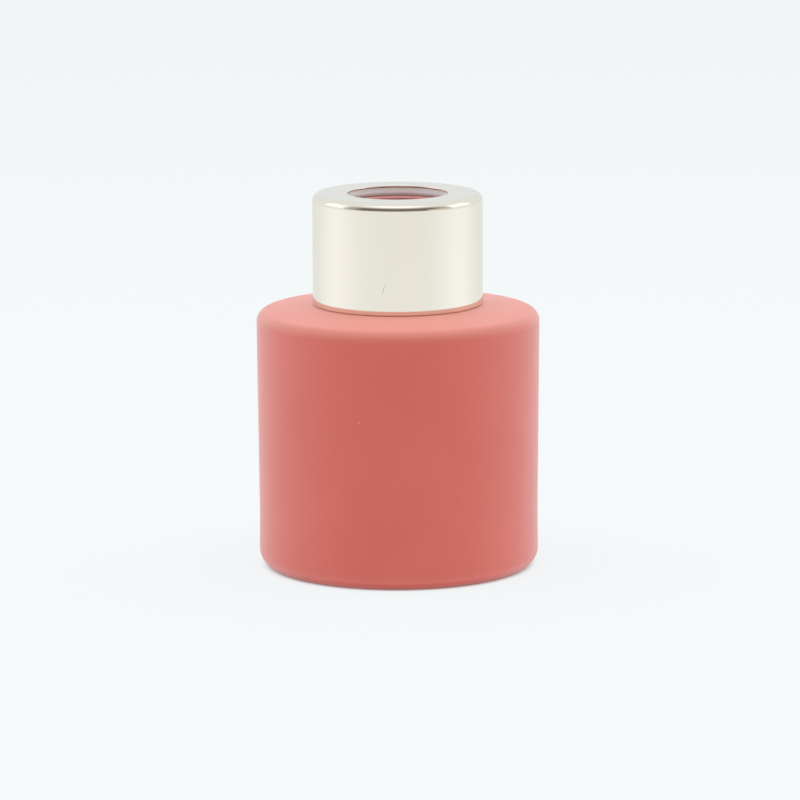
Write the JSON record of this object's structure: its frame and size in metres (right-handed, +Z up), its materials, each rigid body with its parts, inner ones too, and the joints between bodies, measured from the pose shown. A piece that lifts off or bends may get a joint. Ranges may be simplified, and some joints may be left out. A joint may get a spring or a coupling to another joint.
{
  "type": "reed diffuser bottle",
  "caption": "Round lacquered glass bottle with a flat shoulder, a threaded neck and an open screw collar in polished gold metal.",
  "frame": {"origin": "on the bottle's axis, in the plane of the ring that it stands on", "axes": "+Z up the bottle's axis, out of the neck; -Y is the side that faces the viewer; the bottle is round, so X and Y are otherwise free"},
  "size_m": [0.0494, 0.0494, 0.0656],
  "materials": {
    "coral_lacquer": "clear glass sprayed all over with a matt coral lacquer",
    "gold_aluminium": "polished and anodised pale champagne gold",
    "white_plastic": "natural white polypropylene, as moulded",
    "clear_seal": "milky soft elastomer"
  },
  "bodies": {
    "bottle": {"bottle": "coral_lacquer"},
    "seal": {"seal_ring": "clear_seal"},
    "collar": {"collar_shell": "gold_aluminium", "collar_liner": "white_plastic"}
  },
  "joints": [
    {"name": "collar_lift", "type": "slide", "parent": "bottle", "child": "seal", "axis": [0, 0, 1], "range_m": [0, 0.0178]},
    {"name": "collar_turn", "type": "hinge", "parent": "seal", "child": "collar", "pos_m": [0, 0, 0.0558], "axis": [0, 0, 1], "range_deg": [0, 2016]}
  ],
  "couplings": [
    {"joint": "collar_lift", "follows": "collar_turn", "m_per_rad": 0.00050532}
  ]
}
